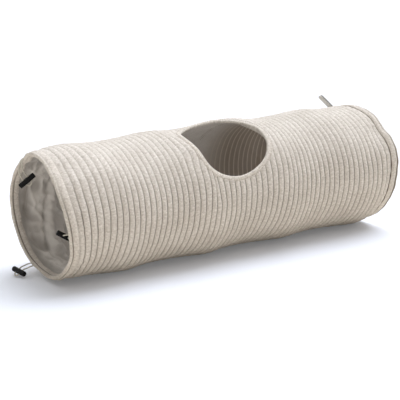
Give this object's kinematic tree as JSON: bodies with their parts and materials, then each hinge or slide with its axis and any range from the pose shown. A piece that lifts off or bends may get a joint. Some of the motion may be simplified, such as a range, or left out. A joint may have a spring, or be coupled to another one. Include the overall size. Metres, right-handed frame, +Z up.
{
  "type": "collapsible cat tunnel",
  "caption": "Pop-open corduroy play tunnel on a spring wire helix, with a round peephole, toggles on elastic loops at the front mouth and keeper loops at the rear.",
  "frame": {"origin": "on the floor under the middle of the tunnel, below its axis", "axes": "+X along the tunnel from the front mouth, which has the toggles, to the rear mouth; -Y towards the side that the peephole leans to; +Z up"},
  "size_m": [0.7825, 0.2478, 0.2529],
  "materials": {
    "corduroy": "cream wide-wale corduroy with a soft matt pile",
    "hem_cloth": "the same cream corduroy folded into a hem",
    "lining_cloth": "plain grey-taupe woven polyester, faintly lustrous",
    "casing_tape": "dark grey woven casing tape",
    "spring_steel": "drawn spring steel wire",
    "sleeve_steel": "pressed steel sleeve",
    "elastic": "pale braided elastic cord",
    "black_plastic": "black moulded plastic with a satin sheen",
    "webbing": "pale grey woven tape"
  },
  "bodies": {
    "front_end": {"front_rim_binding": "hem_cloth", "front_wire_sleeve": "sleeve_steel", "outer_shell": "corduroy", "lining": "lining_cloth", "spring_wire": "spring_steel", "wire_casing": "casing_tape", "peephole_binding": "hem_cloth"},
    "rear_end": {"rear_rim_binding": "hem_cloth", "rear_wire_sleeve": "sleeve_steel"},
    "toggle_loop_top": {"toggle_cord_top": "elastic"},
    "toggle_loop_side": {"toggle_cord_side": "elastic"},
    "toggle_loop_bottom": {"toggle_cord_bottom": "elastic"},
    "toggle_bar_top": {"toggle_top": "black_plastic"},
    "toggle_bar_side": {"toggle_side": "black_plastic"},
    "toggle_bar_bottom": {"toggle_bottom": "black_plastic"},
    "keeper_loop_top": {"keeper_top": "webbing"},
    "keeper_loop_side": {"keeper_side": "webbing"},
    "keeper_loop_bottom": {"keeper_bottom": "webbing"}
  },
  "joints": [
    {"name": "tunnel_fold", "type": "slide", "parent": "front_end", "child": "rear_end", "axis": [1, 0, 0], "range_m": [-0.7, 0], "stiffness_N_per_m": 3, "springref_m": 0.25, "deforming": ["outer_shell", "lining", "spring_wire", "wire_casing", "peephole_binding"]},
    {"name": "toggle_top_swing", "type": "hinge", "parent": "front_end", "child": "toggle_loop_top", "pos_m": [-0.37891, 0.05486, 0.21845], "axis": [0, -0.866, 0.5], "range_deg": [-185, 30], "deforming": ["toggle_cord_top"]},
    {"name": "toggle_top_tilt", "type": "hinge", "parent": "toggle_loop_top", "child": "toggle_bar_top", "pos_m": [-0.37471, 0.04772, 0.17939], "axis": [-0.4855, -0.8677, 0.1064], "range_deg": [-45, 45], "deforming": ["toggle_cord_top"]},
    {"name": "toggle_side_swing", "type": "hinge", "parent": "front_end", "child": "toggle_loop_side", "pos_m": [-0.37785, -0.10894, 0.10909], "axis": [0, 0.1305, -0.9914], "range_deg": [-185, 25], "deforming": ["toggle_cord_side"]},
    {"name": "toggle_side_tilt", "type": "hinge", "parent": "toggle_loop_side", "child": "toggle_bar_side", "pos_m": [-0.37239, -0.07912, 0.10279], "axis": [-0.5681, -0.0692, -0.82], "range_deg": [-45, 45], "deforming": ["toggle_cord_side"]},
    {"name": "toggle_bottom_swing", "type": "hinge", "parent": "front_end", "child": "toggle_loop_bottom", "pos_m": [-0.37992, 0.04899, 0.01838], "axis": [0, 0.9063, 0.4226], "range_deg": [-45, 110], "deforming": ["toggle_cord_bottom"]},
    {"name": "toggle_bottom_tilt", "type": "hinge", "parent": "toggle_loop_bottom", "child": "toggle_bar_bottom", "pos_m": [-0.39336, 0.05361, 0.00998], "axis": [0.5588, 0.139, -0.8176], "range_deg": [-40, 40], "deforming": ["toggle_cord_bottom"]},
    {"name": "keeper_top_swing", "type": "hinge", "parent": "rear_end", "child": "keeper_loop_top", "pos_m": [0.364, 0.06029, 0.22786], "axis": [0, -0.866, 0.5], "range_deg": [-125, 22], "stiffness_Nm_per_rad": 0.002},
    {"name": "keeper_side_swing", "type": "hinge", "parent": "rear_end", "child": "keeper_loop_side", "pos_m": [0.364, -0.10606, 0.12343], "axis": [0, 0, -1], "range_deg": [0, 170], "stiffness_Nm_per_rad": 0.002},
    {"name": "keeper_bottom_swing", "type": "hinge", "parent": "rear_end", "child": "keeper_loop_bottom", "pos_m": [0.364, 0.05303, 0.03158], "axis": [0, 0.866, 0.5], "range_deg": [0, 170], "stiffness_Nm_per_rad": 0.002}
  ]
}
